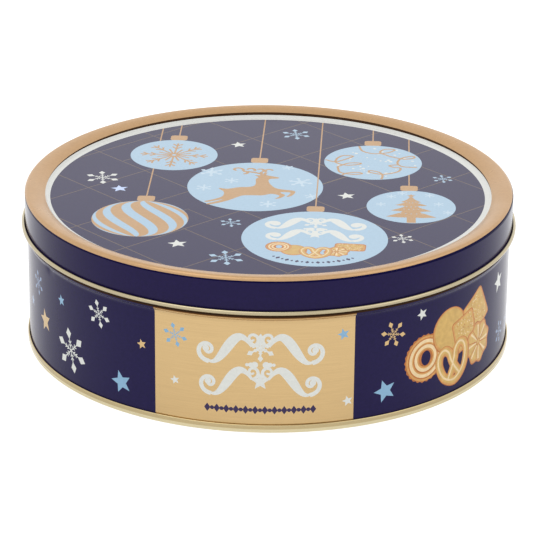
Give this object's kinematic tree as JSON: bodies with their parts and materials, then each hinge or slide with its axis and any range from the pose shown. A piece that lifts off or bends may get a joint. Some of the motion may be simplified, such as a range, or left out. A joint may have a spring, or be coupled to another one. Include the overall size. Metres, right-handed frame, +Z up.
{
  "type": "cookie tin",
  "caption": "Low round slip-lid tin of printed tinplate with a recessed lid panel, curled lid edge, stop bead and double-seamed base.",
  "frame": {"origin": "centre of the standing ring, on the surface the tin stands on", "axes": "+Z up along the tin's axis of revolution; -Y is the front, where the label is printed"},
  "size_m": [0.198, 0.198, 0.063],
  "materials": {
    "lid_print": "navy and copper print under gloss varnish on tinplate",
    "wall_print": "navy print with a gold label under gloss varnish on tinplate",
    "gold_lacquer": "clear gold lacquer on bright tinplate",
    "compound": "cured grey lining compound"
  },
  "bodies": {
    "tin": {"body_wall": "wall_print", "base": "gold_lacquer", "seam_compound": "compound"},
    "lid": {"lid": "lid_print"}
  },
  "joints": [
    {"name": "lid_lift", "type": "slide", "parent": "tin", "child": "lid", "axis": [0, 0, 1], "range_m": [0, 0.06]}
  ]
}
